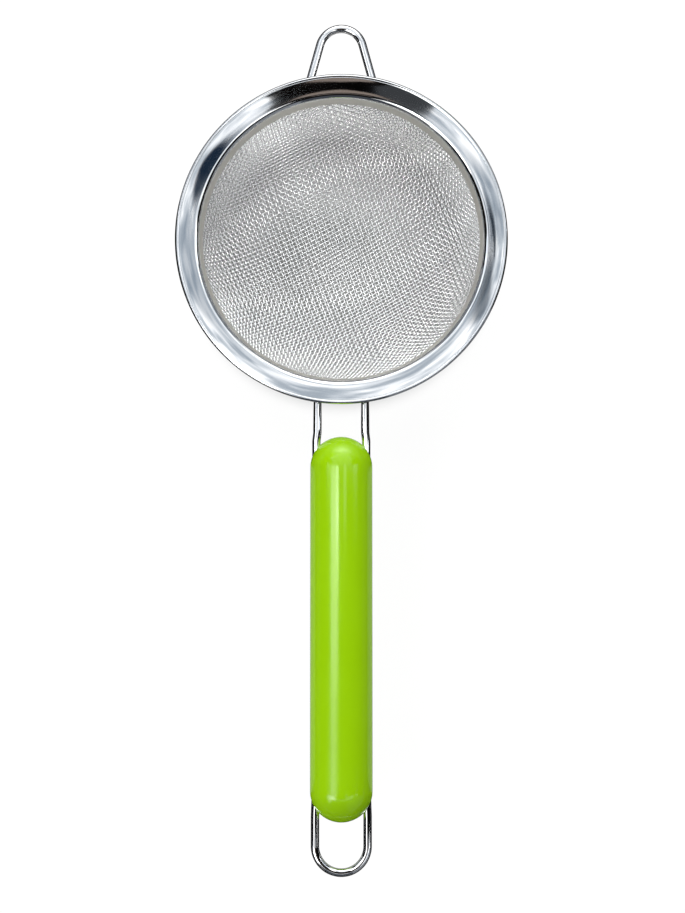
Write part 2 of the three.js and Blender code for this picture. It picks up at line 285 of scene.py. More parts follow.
def paperFloor():
    # Seamless white paper, matte: white in the open by its own light; under the bowl its colour is painted
    # darker, a painted shade that the camera and mirrors see
    material = bpy.data.materials.new("seamless white paper")
    material.use_nodes = True
    tree = material.node_tree
    tree.nodes.clear()
    path = addNode(tree, "ShaderNodeLightPath")
    seenFirst = addNode(tree, "ShaderNodeMath", {"operation": "MAXIMUM"},
                        {0: path.outputs["Is Camera Ray"], 1: path.outputs["Is Glossy Ray"]})
    seenLast = addNode(tree, "ShaderNodeMath", {"operation": "MAXIMUM"},
                       {0: seenFirst.outputs[0], 1: path.outputs["Is Transmission Ray"]})
    coords = addNode(tree, "ShaderNodeTexCoord")
    away = addNode(tree, "ShaderNodeVectorMath", {"operation": "LENGTH"}, {0: coords.outputs["Object"]})
    inOpen = addNode(tree, "ShaderNodeMapRange",
                     {"interpolation_type": "SMOOTHSTEP", "From Min": paper["shadeEnds"][0] * mm,
                      "From Max": paper["shadeEnds"][1] * mm}, {"Value": away.outputs["Value"]})
    matte = addNode(tree, "ShaderNodeBsdfDiffuse", {"Color": toLinear("#E6E6E5")})
    # Painted shade: the paper's colour under the bowl, from its middle to the edge of the shade
    shade = addNode(tree, "ShaderNodeMapRange",
                    {"From Min": paper["middle"] * mm, "From Max": paper["shadeEnds"][0] * mm,
                     "To Min": paper["shade"][0], "To Max": paper["shade"][1]},
                    {"Value": away.outputs["Value"]})
    shaded = addNode(tree, "ShaderNodeBsdfDiffuse", None, {"Color": shade.outputs["Result"]})
    faint = addNode(tree, "ShaderNodeBsdfDiffuse", {"Color": (0.08, 0.08, 0.08, 1.0)})
    glow = addNode(tree, "ShaderNodeEmission", {"Strength": paper["glow"]})
    lit = addNode(tree, "ShaderNodeAddShader", None, {0: faint.outputs[0], 1: glow.outputs[0]})
    shown = addNode(tree, "ShaderNodeMixShader", None,
                    {0: inOpen.outputs["Result"], 1: shaded.outputs[0], 2: lit.outputs[0]})
    either = addNode(tree, "ShaderNodeMixShader", None,
                     {0: seenLast.outputs[0], 1: matte.outputs[0], 2: shown.outputs[0]})
    addNode(tree, "ShaderNodeOutputMaterial", None, {"Surface": either.outputs[0]})
    return material


def stagePlane(name, corners, material):
    mesh = bpy.data.meshes.new(name)
    mesh.from_pydata([tuple(c) for c in corners], [], [tuple(range(len(corners)))])
    mesh.materials.append(material)
    plane = bpy.data.objects.new(name, mesh)
    scene.collection.objects.link(plane)
    return plane


half = studio["floorSize"] / 2
floorCorners = [(-half, -half, 0), (half, -half, 0), (half, half, 0), (-half, half, 0)]
stagePlane("paperFloor", floorCorners, paperFloor())


def flagMaterial(name, colour, strength=1.0):
    material = bpy.data.materials.new(name)
    material.use_nodes = True
    tree = material.node_tree
    tree.nodes.clear()
    glow = addNode(tree, "ShaderNodeEmission", {"Color": toLinear(colour), "Strength": strength})
    addNode(tree, "ShaderNodeOutputMaterial", None, {"Surface": glow.outputs[0]})
    return material


def mirrorOnly(plane):
    plane.visible_camera = False
    plane.visible_diffuse = False
    plane.visible_transmission = False
    plane.visible_shadow = False
    plane.visible_volume_scatter = False


def flag(name, corners, colour, strength=1.0):
    mirrorOnly(stagePlane(name, corners, flagMaterial(name, colour, strength)))


def overheadFlag(name, angles, colour, lift=0.0):
    # Its corners are given as they are seen from the middle of the rim, in degrees from straight up
    height = studio["flagHeight"] + lift
    spread = [(height * tan(radians(a)), height * tan(radians(b))) for a, b in angles]
    flag(name, [(x, y, rimTop * mm + height) for x, y in spread], colour)


def wallFlag(name, start, end, low, high, colour, strength=1.0):
    flag(name, [(*start, low), (*end, low), (*end, high), (*start, high)], colour, strength)


def softCard(name, middle, size, turn, colour, strength=1.0, cover=1.0, core=0.45):
    # An oval card that fades out towards its edge, seen only in mirrors; turn is in degrees about X and Z
    material = bpy.data.materials.new(name)
    material.use_nodes = True
    tree = material.node_tree
    tree.nodes.clear()
    coords = addNode(tree, "ShaderNodeTexCoord")
    away = addNode(tree, "ShaderNodeVectorMath", {"operation": "LENGTH"}, {0: coords.outputs["Object"]})
    fade = addNode(tree, "ShaderNodeMapRange",
                   {"interpolation_type": "SMOOTHSTEP", "From Min": core, "From Max": 1.0,
                    "To Min": cover, "To Max": 0.0}, {"Value": away.outputs["Value"]})
    clear = addNode(tree, "ShaderNodeBsdfTransparent")
    glow = addNode(tree, "ShaderNodeEmission", {"Color": toLinear(colour), "Strength": strength})
    either = addNode(tree, "ShaderNodeMixShader", None,
                     {0: fade.outputs["Result"], 1: clear.outputs[0], 2: glow.outputs[0]})
    addNode(tree, "ShaderNodeOutputMaterial", None, {"Surface": either.outputs[0]})
    card = stagePlane(name, [(-1, -1, 0), (1, -1, 0), (1, 1, 0), (-1, 1, 0)], material)
    card.location = middle
    card.rotation_euler = (radians(turn[0]), 0, radians(turn[1]))
    card.scale = (*size, 1)
    mirrorOnly(card)


def skyCard(name, eye, angles, size, turn, colour, cover=1.0, core=0.45):
    # Placed so that it shows at these angles from the flange point at x = eye, in millimetres
    height = studio["flagHeight"]
    across, ahead = (height * tan(radians(a)) for a in angles)
    middle = (eye * mm + across, ahead, rimTop * mm + height)
    softCard(name, middle, [height * tan(radians(a)) for a in size], (0, turn), colour, 1.0, cover, core)


overheadFlag("darkFlag", [(-3.4, 4.4), (3.4, 4.4), (5, 0), (8, -6), (12.5, -12), (15, -20), (16, -31),
                          (-17, -31), (-18, -20), (-14, -10), (-8.5, -3)], "#080707")
overheadFlag("greyFlag", [(-3.6, 4.6), (-2.0, 1.5), (-3.6, -6), (-6.5, -10.5), (-14.4, -10.4),
                          (-8.9, -2.8)], "#46484B", lift=-0.1)
overheadFlag("brownTop", [(-2.6, 5.0), (2.6, 5.0), (2.0, 2.0), (0, 0.8), (-2.0, 2.0)], "#9A8C82", lift=-0.2)
overheadFlag("brownBottom", [(-6.0, -15.5), (-3.8, -9.2), (0, -7.0), (3.8, -9.2), (6.0, -15.5)],
             "#958880", lift=-0.2)
skyCard("barRight", -56, (10.8, 4.9), (8.4, 4.2), -25, "#34485C", cover=0.75)
skyCard("barRightCore", -56, (11.6, 4.6), (7.6, 3.4), -25, "#0E2238", core=0.6)
skyCard("fanRight", -56, (13.5, 12.5), (11, 8), 30, "#7F92A4", cover=0.6)
skyCard("barLeft", 56, (-11.4, 11.2), (5.2, 4.6), 95, "#0C1826", core=0.5)
skyCard("slantLeft", 56, (-14, 15.8), (10, 3.2), 141, "#4A5866", cover=0.75)
skyCard("hazeLeft", 56, (-15, 6.5), (10, 6.5), 0, "#8798A8", cover=0.55)

# Walls round the room, with their ends and tops in wall distances
walls = {
    "wallLeft": {"ends": ((-1, -1), (-1, 1.2)), "top": 0.72, "colour": "#17191C"},
    "wallRight": {"ends": ((1, -1), (1, 1.2)), "top": 0.56, "colour": "#17191C"},
    "wallNear": {"ends": ((-1, -1), (1, -1)), "top": 1.5, "colour": "#4C5056"},
    "wallFar": {"ends": ((-1, 1.2), (1, 1.2)), "top": 1.1, "colour": "#585C60"},
    "cornerNearLeft": {"ends": ((-1, -0.4), (-0.4, -1)), "top": 0.5, "colour": "#2C2F34"},
    "cornerNearRight": {"ends": ((0.35, -1), (1, -0.3)), "top": 0.9, "colour": "#888C92"},
    "cornerFarLeft": {"ends": ((-1, 0.4), (-0.4, 1.2)), "top": 0.9, "colour": "#888C92"},
    "cornerFarRight": {"ends": ((0.4, 1.2), (1, 0.4)), "top": 0.9, "colour": "#888C92"},
}
wallAt = studio["wallDistance"]
for wallName, wall in walls.items():
    start, end = ((wallAt * x, wallAt * y) for x, y in wall["ends"])
    wallFlag(wallName, start, end, 0, wallAt * wall["top"], wall["colour"])

# Cards that stand nearer, in metres
wallFlag("cardLeft", (-0.17, -0.03), (-0.17, 0.05), 0.09, 0.30, "#1A1614")
wallFlag("cardRight", (0.17, -0.05), (0.17, 0.03), 0.09, 0.26, "#1A1614")
softCard("frontCard", (0.06, 1.2, 0.62), (1.1, 0.7), (90, 0), "#FFFFFF", strength=5.0, core=0.0)
wallFlag("sideCard", (-1.1, -1.0), (-0.7, -1.4), 0.3, 0.85, "#FFFFFF", strength=0.2)

# Cards for the grip alone: dark ones just above the strips, so that only the lamps show in it,
# and a pale grey one on the floor, a painted shade that stands in for the floor in the grip's shadow as the
# grip mirrors it
gripCards = {
    "gripOverhead": {"x": (-1200, 1200), "y": (-262, -50), "height": rimTop + 353, "colour": "#0C0C0B"},
    "gripRearLeft": {"x": (-1200, -114), "y": (-300, -262), "height": rimTop + 353, "colour": "#0C0C0B"},
    "gripRearRight": {"x": (150, 1200), "y": (-300, -262), "height": rimTop + 353, "colour": "#0C0C0B"},
    # Painted shade: grey floor card that the grip mirrors, in place of the floor in its shadow
    "gripFloorShade": {"x": (-110, 110), "y": (-204, -78), "height": 0.5, "colour": "#B0B4AC"},
}
for cardName, card in gripCards.items():
    (left, right), (rear, front) = card["x"], card["y"]
    outline = [(left, rear), (right, rear), (right, front), (left, front)]
    flag(cardName, [(x * mm, y * mm, card["height"] * mm) for x, y in outline], card["colour"])


def floorRing(inner, outer, height, colour):
    # Dark round the bowl, so that wires and rim keep a thin dark outline against the white paper
    turns = [2 * pi * k / 48 for k in range(49)]
    rings = [[(r * cos(a) * mm, r * sin(a) * mm, height * mm) for a in turns] for r in (inner, outer)]
    flag("floorRing", [*rings[0], *rings[1][::-1]], colour)


floorRing(62, 1500, 0.3, "#1C1C1E")
print("studio ready")


# Materials


def buffedStainless():
    # Stainless sheet, stamped and buffed on a lathe: a soft mirror with faint rings; the collar stays matte
    material, tree, shader = newMaterial("buffed stainless sheet", {"Metallic": 1.0})
    coords = addNode(tree, "ShaderNodeTexCoord")
    flat = addNode(tree, "ShaderNodeVectorMath", {"operation": "MULTIPLY", 1: (1.0, 1.0, 0.0)},
                   {0: coords.outputs["Object"]})
    radius = addNode(tree, "ShaderNodeVectorMath", {"operation": "LENGTH"}, {0: flat.outputs["Vector"]})
    # Buffing rings are about 0.02 mm wide and drawn at 0.3 mm so that they show
    rings = addNode(tree, "ShaderNodeTexNoise",
                    {"noise_dimensions": "1D", "Scale": 1 / (0.3 * mm), "Detail": 2.0},
                    {"W": radius.outputs["Value"]})
    smudges = addNode(tree, "ShaderNodeTexNoise", {"Scale": 1 / (18 * mm), "Detail": 2.0, "Roughness": 0.6},
                      {"Vector": coords.outputs["Object"]})
    buffed = addNode(tree, "ShaderNodeMapRange",
                     {"From Min": 0.3, "From Max": 0.7, "To Min": 0.035, "To Max": 0.075},
                     {"Value": smudges.outputs["Fac"]})
    onFlange = addNode(tree, "ShaderNodeMapRange",
                       {"interpolation_type": "SMOOTHSTEP", "From Min": 51.2 * mm, "From Max": 51.8 * mm},
                       {"Value": radius.outputs["Value"]})
    gloss = addNode(tree, "ShaderNodeMix", {"A_Float": 0.42},
                    {"Factor_Float": onFlange.outputs["Result"], "B_Float": buffed.outputs["Result"]})
    bright = addNode(tree, "ShaderNodeMix",
                     {"data_type": "RGBA", "A_Color": toLinear("#D0D2D4"), "B_Color": toLinear("#DADBDD")},
                     {"Factor_Float": smudges.outputs["Fac"]})
    tone = addNode(tree, "ShaderNodeMix", {"data_type": "RGBA", "A_Color": toLinear("#CECBC3")},
                   {"Factor_Float": onFlange.outputs["Result"], "B_Color": bright.outputs[2]})
    relief = addNode(tree, "ShaderNodeBump", {"Strength": 0.05, "Distance": 0.02 * mm},
                     {"Height": rings.outputs["Fac"]})
    tree.links.new(tone.outputs[2], shader.inputs["Base Color"])
    tree.links.new(gloss.outputs[0], shader.inputs["Roughness"])
    tree.links.new(relief.outputs["Normal"], shader.inputs["Normal"])
    return material


def rolledStrip():
    # Cold rolled steel strip, left as rolled: satin, with fine lines along the hoop
    material, tree, shader = newMaterial("cold rolled steel strip", {"Metallic": 1.0})
    coords = addNode(tree, "ShaderNodeTexCoord")
    parts = addNode(tree, "ShaderNodeSeparateXYZ", None, {"Vector": coords.outputs["Object"]})
    lines = addNode(tree, "ShaderNodeTexNoise",
                    {"noise_dimensions": "1D", "Scale": 1 / (0.12 * mm), "Detail": 3.0},
                    {"W": parts.outputs["Z"]})
    patches = addNode(tree, "ShaderNodeTexNoise", {"Scale": 1 / (9 * mm), "Detail": 4.0},
                      {"Vector": coords.outputs["Object"]})
    gloss = addNode(tree, "ShaderNodeMapRange",
                    {"From Min": 0.3, "From Max": 0.7, "To Min": 0.16, "To Max": 0.30},
                    {"Value": patches.outputs["Fac"]})
    tone = addNode(tree, "ShaderNodeMix",
                   {"data_type": "RGBA", "A_Color": toLinear("#B9BABB"), "B_Color": toLinear("#CCCDCE")},
                   {"Factor": lines.outputs["Fac"]})
    relief = addNode(tree, "ShaderNodeBump", {"Strength": 0.12, "Distance": 0.02 * mm},
                     {"Height": lines.outputs["Fac"]})
    tree.links.new(tone.outputs[2], shader.inputs["Base Color"])
    tree.links.new(gloss.outputs["Result"], shader.inputs["Roughness"])
    tree.links.new(relief.outputs["Normal"], shader.inputs["Normal"])
    return material


def drawnWire():
    # Stainless wire, drawn and electropolished: bright, with faint die lines along its run
    material, tree, shader = newMaterial("drawn stainless wire", {"Metallic": 1.0})
    run = addNode(tree, "ShaderNodeUVMap", {"uv_map": "wireRun"})
    coords = addNode(tree, "ShaderNodeTexCoord")
    # The map is in metres, along and around the wire; die lines are 0.25 mm apart and long
    stretch = addNode(tree, "ShaderNodeVectorMath",
                      {"operation": "MULTIPLY", 1: (1 / (60 * mm), 1 / (0.25 * mm), 1.0)},
                      {0: run.outputs["UV"]})
    lines = addNode(tree, "ShaderNodeTexNoise", {"Scale": 1.0, "Detail": 2.0},
                    {"Vector": stretch.outputs["Vector"]})
    patches = addNode(tree, "ShaderNodeTexNoise", {"Scale": 1 / (9 * mm), "Detail": 0.0},
                      {"Vector": coords.outputs["Object"]})
    gloss = addNode(tree, "ShaderNodeMapRange",
                    {"From Min": 0.3, "From Max": 0.7, "To Min": 0.03, "To Max": 0.06},
                    {"Value": patches.outputs["Fac"]})
    tone = addNode(tree, "ShaderNodeMix",
                   {"data_type": "RGBA", "A_Color": toLinear("#DEDEDF"), "B_Color": toLinear("#E8E8E8")},
                   {"Factor": lines.outputs["Fac"]})
    tree.links.new(tone.outputs[2], shader.inputs["Base Color"])
    tree.links.new(gloss.outputs["Result"], shader.inputs["Roughness"])
    return material


def wovenWire():
    # Fine stainless wire, woven and pressed to shape: satin, a little duller in patches
    material, tree, shader = newMaterial("woven stainless wire", {"Metallic": 0.9})
    coords = addNode(tree, "ShaderNodeTexCoord")
    patches = addNode(tree, "ShaderNodeTexNoise", {"Scale": 1 / (7 * mm), "Detail": 3.0},
                      {"Vector": coords.outputs["Object"]})
    specks = addNode(tree, "ShaderNodeTexNoise", {"Scale": 1 / (0.5 * mm), "Detail": 1.0},
                     {"Vector": coords.outputs["Object"]})
    gloss = addNode(tree, "ShaderNodeMapRange",
                    {"From Min": 0.3, "From Max": 0.7, "To Min": 0.10, "To Max": 0.18},
                    {"Value": patches.outputs["Fac"]})
    tone = addNode(tree, "ShaderNodeMix",
                   {"data_type": "RGBA", "A_Color": toLinear("#F4F4F3"), "B_Color": toLinear("#FFFFFF")},
                   {"Factor": specks.outputs["Fac"]})
    tree.links.new(tone.outputs[2], shader.inputs["Base Color"])
    tree.links.new(gloss.outputs["Result"], shader.inputs["Roughness"])
    return material


def limePolypropylene():
    # Polypropylene, moulded in a polished tool: glossy lime with a slight orange peel
    material, tree, shader = newMaterial("moulded lime polypropylene", {"IOR": 1.49})
    coords = addNode(tree, "ShaderNodeTexCoord")
    cloud = addNode(tree, "ShaderNodeTexNoise", {"Scale": 1 / (14 * mm), "Detail": 3.0},
                    {"Vector": coords.outputs["Object"]})
    peel = addNode(tree, "ShaderNodeTexNoise", {"Scale": 1 / (1.1 * mm), "Detail": 2.0},
                   {"Vector": coords.outputs["Object"]})
    tone = addNode(tree, "ShaderNodeMix",
                   {"data_type": "RGBA", "A_Color": toLinear("#94C800"), "B_Color": toLinear("#9AD000")},
                   {"Factor": cloud.outputs["Fac"]})
    gloss = addNode(tree, "ShaderNodeMapRange",
                    {"From Min": 0.3, "From Max": 0.7, "To Min": 0.15, "To Max": 0.20},
                    {"Value": cloud.outputs["Fac"]})
    relief = addNode(tree, "ShaderNodeBump", {"Strength": 0.08, "Distance": 0.02 * mm},
                     {"Height": peel.outputs["Fac"]})
    tree.links.new(tone.outputs[2], shader.inputs["Base Color"])
    tree.links.new(gloss.outputs["Result"], shader.inputs["Roughness"])
    tree.links.new(relief.outputs["Normal"], shader.inputs["Normal"])
    return material


def weldMetal():
    # Resistance weld, pickled: grey and uneven, with a straw heat tint at its edge
    material, tree, shader = newMaterial("pickled weld metal", {"Metallic": 1.0})
    coords = addNode(tree, "ShaderNodeTexCoord")
    tint = addNode(tree, "ShaderNodeTexNoise", {"Scale": 1 / (1.6 * mm), "Detail": 3.0},
                   {"Vector": coords.outputs["Object"]})
    pits = addNode(tree, "ShaderNodeTexNoise", {"Scale": 1 / (0.35 * mm), "Detail": 3.0},
                   {"Vector": coords.outputs["Object"]})
    tone = addNode(tree, "ShaderNodeMix",
                   {"data_type": "RGBA", "A_Color": toLinear("#8E8D8B"), "B_Color": toLinear("#B9AC93")},
                   {"Factor": tint.outputs["Fac"]})
    gloss = addNode(tree, "ShaderNodeMapRange", {"To Min": 0.28, "To Max": 0.52},
                    {"Value": pits.outputs["Fac"]})
    relief = addNode(tree, "ShaderNodeBump", {"Strength": 0.4, "Distance": 0.08 * mm},
                     {"Height": pits.outputs["Fac"]})
    tree.links.new(tone.outputs[2], shader.inputs["Base Color"])
    tree.links.new(gloss.outputs["Result"], shader.inputs["Roughness"])
    tree.links.new(relief.outputs["Normal"], shader.inputs["Normal"])
    return material


sheetSteel = buffedStainless()
stripSteel = rolledStrip()
wireSteel = drawnWire()
clothSteel = wovenWire()
limePlastic = limePolypropylene()
weldSteel = weldMetal()
print("materials ready")


# Turned pieces


def turned(profile, segments):
    angles = np.linspace(0, 2 * pi, segments, endpoint=False)
    count = len(profile)
    points = [(r * cos(a), r * sin(a), z) for a in angles for r, z in profile]
    faces = []
    for k in range(segments):
        here, there = k * count, (k + 1) % segments * count
        for i in range(count):
            j = (i + 1) % count
            faces.append((here + i, there + i, there + j, here + j))
    return np.array(points), faces


# Rolled edge: the flange runs up to a crown, falls off in a chamfer and curls under
rolledEdge = {
    "crown": (59.30, -0.817, 0.45),     # centre and radius of each arc
    "curl": (59.68, -0.948, 0.32),
    "chamfer": 52.0,                    # its normal, degrees from straight out
    "curlEnd": -135.0,
    "crease": (58.76, 0.06, 0.025),     # radius, half width and depth of the faint line inside the crown
}


def arcPoints(centre, start, end, steps):
    turns = [radians(start + (end - start) * i / steps) for i in range(steps + 1)]
    return [(centre[0] + centre[2] * cos(a), centre[1] + centre[2] * sin(a)) for a in turns]


def rimRing():
    s = rimSheet
    thick = s["thickness"] / 2
    collarSteps, bendSteps, dishSteps = 6, 20, 24
    path = []                       # middle line of the sheet, with its slope towards the axis
    bottom = seat(collarLength, 0)
    for i in range(collarSteps + 1):
        path.append((*(bottom + (line["collarTop"] - bottom) * i / collarSteps), line["steep"]))
    for i in range(1, bendSteps + 1):
        slope = line["steep"] + (line["inner"] - line["steep"]) * i / bendSteps
        at = line["bendCentre"] + s["bendRadius"] * np.array([-sin(slope), cos(slope)])
        path.append((*at, slope))
    for i in range(1, dishSteps + 1):
        slope = line["inner"] + (line["outer"] - line["inner"]) * i / dishSteps
        at = line["dishCentre"] + line["dish"] * np.array([sin(slope), -cos(slope)])
        path.append((*at, slope))
    upper = [(x - thick * sin(a), y + thick * cos(a)) for x, y, a in path]
    edge = rolledEdge
    at, wide, deep = edge["crease"]
    crown = arcPoints(edge["crown"], 90 + s["slopeOuter"], edge["chamfer"], 8)
    rise = tan(line["outer"])
    crease = [(x, crown[0][1] + (x - crown[0][0]) * rise - d) for x, d in ((at, deep), (at + wide, 0))]
    curl = arcPoints(edge["curl"], edge["chamfer"], edge["curlEnd"], 14)
    lower = [(x + thick * sin(a), y - thick * cos(a)) for x, y, a in reversed(path)]
    profile = [(x, y + rimTop) for x, y in [*upper, *crease, *crown, *curl, *lower]]
    points, faces = turned(profile[::-1], s["segments"])
    return makePiece("stamped_rim", points, faces, sheetSteel)


dress(rimRing(), "polished_steel", "rim_ring")

clampHoop = {
    "thickness": 0.8,
    "top": 0.9,
    "bottom": 5.2,
    "edgeRound": 0.18,
    "segments": 192,
}


def clampBand():
    # A strip with rounded edges, set out along the collar and away from it
    h = clampHoop
    edge = h["edgeRound"]
    low, high = h["bottom"] - edge, h["top"] + edge
    inner, outer = bandInner + edge, bandInner + h["thickness"] - edge
    profile = []
    for first, along, out in ((180, low, inner), (90, low, outer), (0, high, outer), (-90, high, inner)):
        for i in range(4):
            angle = radians(first - 30 * i)
            x, y = seat(along + edge * sin(angle), out + edge * cos(angle))
            profile.append((x, y + rimTop))
    points, faces = turned(profile, h["segments"])
    return makePiece("clamp_hoop", points, faces, stripSteel, 60)


dress(clampBand(), "polished_steel", "clamp_band")
print("rim and hoop ready")


# Bent wires

bentWire = {
    "radius": 1.5,
    "drop": 4.2,            # wires' plane below the rim's top
    "footBend": 4.6,
    "footEnd": 5.2,         # down along the collar
    "standoff": 0.8,        # gap to the hoop, which the weld fills
    "sides": 32,
    "arcStep": 4.0,         # degrees from ring to ring in a bend
    "endRound": 0.5,
}
potRest = {"tip": 79.0, "bend": 8.0, "splay": 15.4}     # each leg's splay in degrees
hairpin = {
    "atRim": 8.5,               # half the distance between the two wires
    "inGrip": 8.6,
    "atLoop": 9.35,
    "narrowing": 24.0,          # length inside the grip's rear over which they spread
    "jog": (1.5, -1.5, 0.36),   # from and to before the grip's front, and how far outwards
    "tip": -228.0,
    "gripFront": -71.5,
    "gripRear": -208.8,
    "gripWall": 2.2,
}
footOut = bandInner + clampHoop["thickness"] + bentWire["standoff"] + bentWire["radius"]
footCorner = (seatTop[1] - footOut * sin(taper) + bentWire["drop"]) / cos(taper)
footCircle = seat(footCorner, footOut)[0]


def bentStations(corners):
    # Straight runs between corners, each corner rounded to its bend
    stations = []
    last = len(corners) - 1
    for i, (at, bend) in enumerate(corners):
        before = (at - corners[i - 1][0]).normalized() if i > 0 else None
        after = (corners[i + 1][0] - at).normalized() if i < last else None
        if before is None or after is None or not bend:
            stations.append(at.copy())
            continue
        turn = before.angle(after)
        start = at - before * bend * tan(turn / 2)
        inward = (after - before * before.dot(after)).normalized()
        steps = max(2, ceil(turn / radians(bentWire["arcStep"])))
        for k in range(steps + 1):
            angle = turn * k / steps
            stations.append(start + before * bend * sin(angle) + inward * bend * (1 - cos(angle)))
    kept = [stations[0]]
    for station in stations[1:]:
        if (station - kept[-1]).length > 0.05:
            kept.append(station)
    return kept


def sweptWire(name, corners):
    radius, sides = bentWire["radius"], bentWire["sides"]
    stations = bentStations(corners)
    tangents = []
    for i in range(len(stations)):
        ahead = stations[min(i + 1, len(stations) - 1)] - stations[max(i - 1, 0)]
        tangents.append(ahead.normalized())
    endRound = bentWire["endRound"]

    def endRings(at, tangent, inward):
        # Rounded end: a few short rings that close in
        rings = []
        for k in range(5):
            turn = pi / 2 * k / 4
            size = radius - endRound * (1 - cos(turn))
            rings.append((at + inward * endRound * (1 - sin(turn)), tangent, size))
        return rings

    middle = [(at, tangent, radius) for at, tangent in zip(stations[1:-1], tangents[1:-1])]
    rings = [*endRings(stations[0], tangents[0], tangents[0])[::-1], *middle,
             *endRings(stations[-1], tangents[-1], -tangents[-1])]
    points, lengths = [], []
    normal = rings[0][1].orthogonal().normalized()
    run = 0.0
    for i, (at, tangent, size) in enumerate(rings):
        if i > 0:
            run += (at - rings[i - 1][0]).length
            normal = rings[i - 1][1].rotation_difference(tangent) @ normal
        normal = (normal - tangent * tangent.dot(normal)).normalized()
        across = tangent.cross(normal)
        lengths.append(run)
        for k in range(sides):
            angle = 2 * pi * k / sides
            points.append(at + size * (cos(angle) * normal + sin(angle) * across))
    faces, uv = [], []
    girth = 2 * pi * radius
    for i in range(len(rings) - 1):
        for k in range(sides):
            j = (k + 1) % sides
            here, there = i * sides, (i + 1) * sides
            faces.append((here + k, here + j, there + j, there + k))
            v0, v1 = girth * k / sides * mm, girth * (k + 1) / sides * mm
            u0, u1 = lengths[i] * mm, lengths[i + 1] * mm
            uv += [(u0, v0), (u0, v1), (u1, v1), (u1, v0)]
    faces.append(tuple(range(sides))[::-1])
    faces.append(tuple(range((len(rings) - 1) * sides, len(rings) * sides)))
    uv += [(0.0, 0.0)] * (2 * sides)
    return makePiece(name, points, faces, wireSteel, 50, {"name": "wireRun", "values": uv})


def wireFoot(x, y):
    # A level wire turns down beside the hoop
    out = Vector((x, y)).normalized()
    end = seat(bentWire["footEnd"], footOut)
    level = rimTop - bentWire["drop"]
    return [(Vector((out.x * end[0], out.y * end[0], rimTop + end[1])), 0),
            (Vector((x, y, level)), bentWire["footBend"])]


def restCorners():
    splay = radians(potRest["splay"])
    peak = potRest["tip"] - bentWire["radius"] - potRest["bend"] + potRest["bend"] / sin(splay)
    legRun = peak * cos(splay) - sqrt(footCircle ** 2 - (peak * sin(splay)) ** 2)
    x, y = legRun * sin(splay), peak - legRun * cos(splay)
    top = (Vector((0, peak, rimTop - bentWire["drop"])), potRest["bend"])
    return [*wireFoot(-x, y), top, *wireFoot(x, y)[::-1]], (x, y)


def handleCorners():
    h = hairpin
    level = rimTop - bentWire["drop"]
    y = -sqrt(footCircle ** 2 - h["atRim"] ** 2)
    sides = []
    for sign in (-1, 1):
        sides.append([
            *wireFoot(sign * h["atRim"], y),
            (Vector((sign * h["inGrip"], h["gripFront"] + h["jog"][0], level)), 0),
            (Vector((sign * (h["inGrip"] + h["jog"][2]), h["gripFront"] + h["jog"][1], level)), 0),
            (Vector((sign * h["inGrip"], h["gripRear"] + h["narrowing"], level)), 0),
            (Vector((sign * h["atLoop"], h["gripRear"] + h["gripWall"], level)), 0),
            (Vector((sign * h["atLoop"], h["tip"] + bentWire["radius"], level)), h["atLoop"]),
        ])
    return [*sides[0], *sides[1][::-1]], (h["atRim"], y)


restRoute, restFoot = restCorners()
dress(sweptWire("pot_rest_wire", restRoute), "bright_wire", "rest_loop")
handleRoute, handleFoot = handleCorners()
dress(sweptWire("handle_hairpin", handleRoute), "bright_wire", "handle_wire")
print("wires ready")


# Welds between the wires' feet and the hoop

weldBead = {
    "level": 3.9,                       # down along the collar
    "halfSize": (2.1, 1.35, 2.2),       # along the hoop, away from it and down
    "ripple": 0.12,
}


def weldNugget(name, x, y):
    out = Vector((x, y)).normalized()
    middle = seat(weldBead["level"], bandInner + clampHoop["thickness"] + bentWire["standoff"] / 2)
    centre = Vector((out.x * middle[0], out.y * middle[0], rimTop + middle[1]))
    side = Vector((-out.y, out.x, 0))
    away = Vector((out.x * cos(taper), out.y * cos(taper), -sin(taper)))
    down = side.cross(away)
    rings, steps = 24, 32
    points, faces = [], []
    a, b, c = weldBead["halfSize"]
    for i in range(1, rings):
        polar = pi * i / rings
        for k in range(steps):
            turn = 2 * pi * k / steps
            swell = 1 + weldBead["ripple"] * sin(5 * polar) * sin(3 * turn + 2 * polar)
            u = a * sin(polar) * cos(turn) * swell
            v = b * sin(polar) * sin(turn) * swell
            points.append(centre + side * u + away * v + down * c * cos(polar))
    top, bottom = len(points), len(points) + 1
    points += [centre + down * c, centre - down * c]
    for i in range(rings - 2):
        for k in range(steps):
            j = (k + 1) % steps
            faces.append((i * steps + k, (i + 1) * steps + k, (i + 1) * steps + j, i * steps + j))
    final = (rings - 2) * steps
    for k in range(steps):
        j = (k + 1) % steps
        faces += [(top, k, j), (bottom, final + j, final + k)]
    return makePiece(name, points, faces, weldSteel, 70)


for weldName, node, sign, foot in (
    ("weld_rest_left", "rest_weld_left", -1, restFoot),
    ("weld_rest_right", "rest_weld_right", 1, restFoot),
    ("weld_handle_left", "handle_weld_left", -1, handleFoot),
    ("weld_handle_right", "handle_weld_right", 1, handleFoot),
):
    dress(weldNugget(weldName, sign * foot[0], foot[1]), "weld_metal", node)
print("welds ready")


# Grip: two moulded half shells closed on the wires

gripShell = {
    "radius": 11.15,
    "wall": 2.2,
    "seamGap": 0.16,
    "around": 56,           # steps over half a turn
    "domeSteps": 20,
    "barSteps": 36,
}


